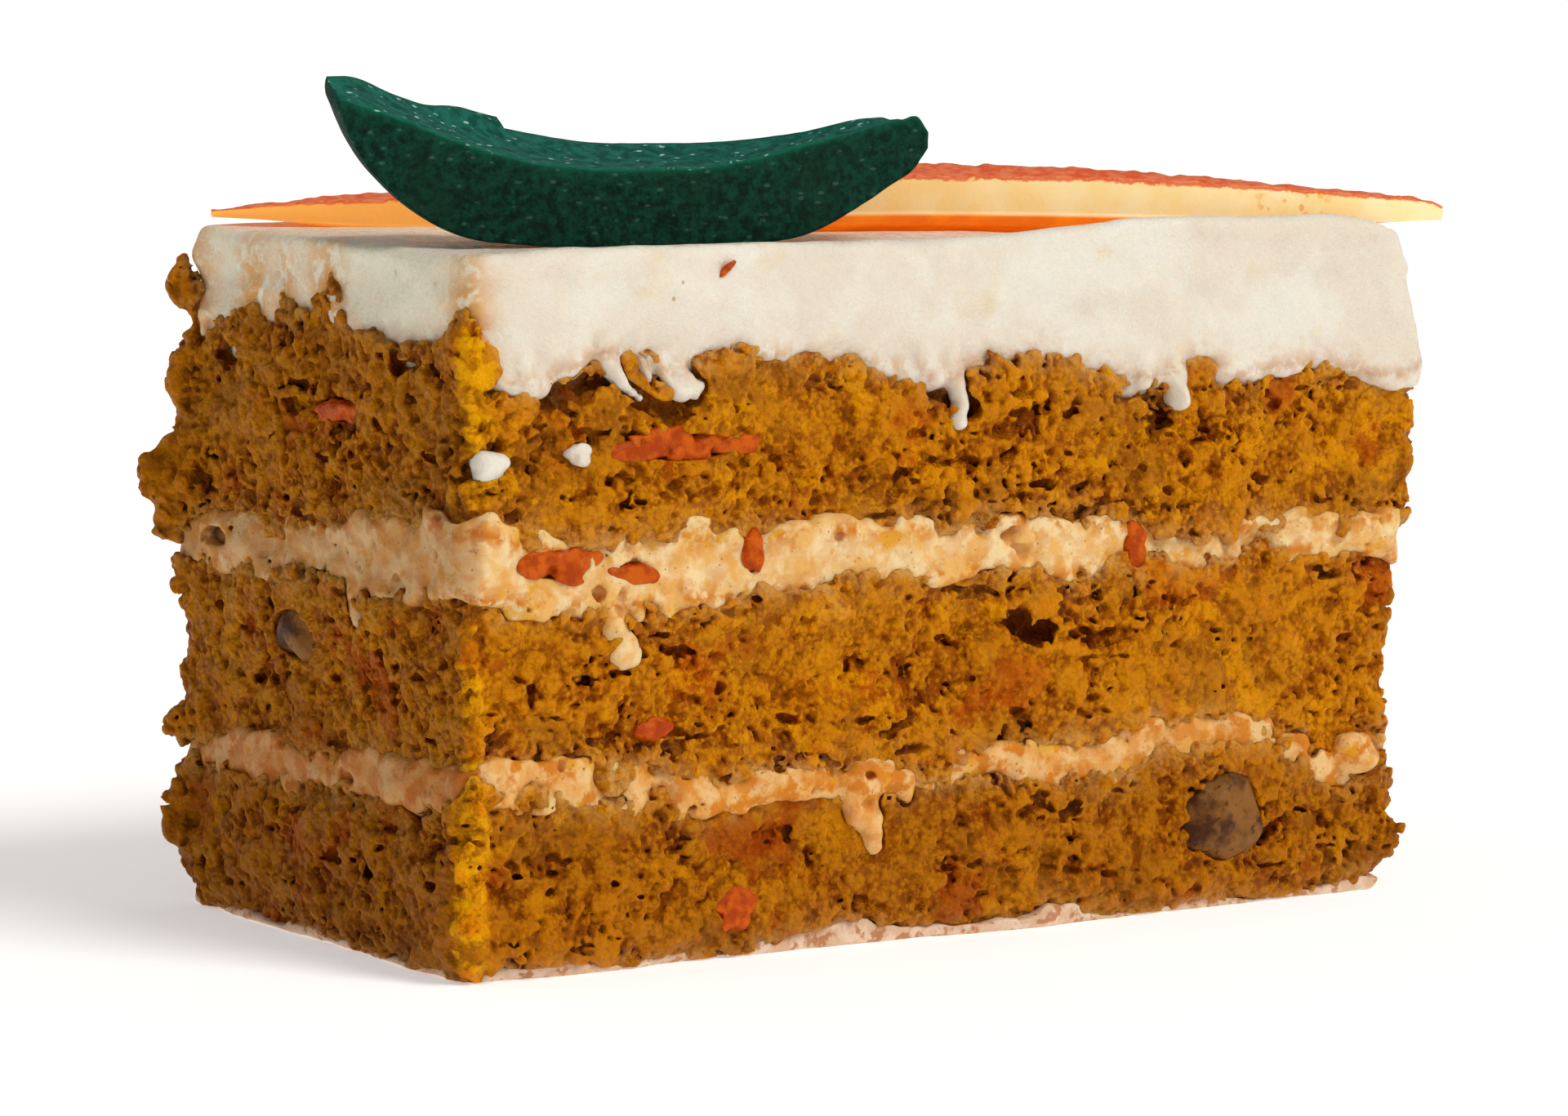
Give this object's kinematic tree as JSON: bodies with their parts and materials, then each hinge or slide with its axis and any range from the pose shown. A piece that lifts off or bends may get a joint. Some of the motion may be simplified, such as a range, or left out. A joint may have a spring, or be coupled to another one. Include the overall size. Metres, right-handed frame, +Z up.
{
  "type": "carrot cake slice",
  "caption": "Oblong slice of layered carrot cake with cream fillings, thick cream frosting, an orange pointed plaque and a curled green leaf on top.",
  "frame": {"origin": "centre of the flat base of the slice, on the surface it stands on, at the base mount", "axes": "+X along the long side, +Y from the front cut face to the back one, +Z up"},
  "size_m": [0.1115, 0.049, 0.0735],
  "materials": {
    "sponge": "open, moist, golden-brown baked crumb",
    "cream_frosting": "soft-sheen whipped cream frosting, knife-smoothed top",
    "cream_filling": "cut cream filling with crumbs dragged through it",
    "cream_film": "thin smeared cream, crumbed",
    "carrot": "wet, translucent cooked carrot",
    "walnut": "cut walnut, slightly wrinkled, waxy",
    "orange_chocolate": "coloured white chocolate, rough red-orange top, pale cut rim",
    "green_chocolate": "dark green moulded chocolate, fine granular surface, pale specks"
  },
  "bodies": {
    "root": {"base_cream_film": "cream_film", "sponge_bottom": "sponge", "filling_lower": "cream_filling", "sponge_middle": "sponge", "filling_upper": "cream_filling", "sponge_top": "sponge", "frosting_top": "cream_frosting", "walnut_front": "walnut", "carrot_shred_front_top": "carrot", "carrot_in_filling_a": "carrot", "carrot_in_filling_b": "carrot", "carrot_in_filling_c": "carrot", "carrot_in_filling_d": "carrot", "carrot_chunk_front": "carrot", "carrot_shred_front_middle": "carrot", "carrot_fleck_frosting": "carrot", "cream_crumb_front_a": "cream_frosting", "cream_crumb_front_b": "cream_frosting", "carrot_shred_left": "carrot", "walnut_left": "walnut", "walnut_sliver_left": "walnut", "walnut_back": "walnut", "carrot_shred_back_top": "carrot", "carrot_shred_back_right": "carrot", "carrot_shred_back_low": "carrot", "carrot_chunk_back": "carrot", "walnut_right": "walnut", "carrot_shred_right_top": "carrot", "carrot_shred_right_middle": "carrot", "orange_plaque": "orange_chocolate", "green_leaf": "green_chocolate"}
  },
  "joints": []
}
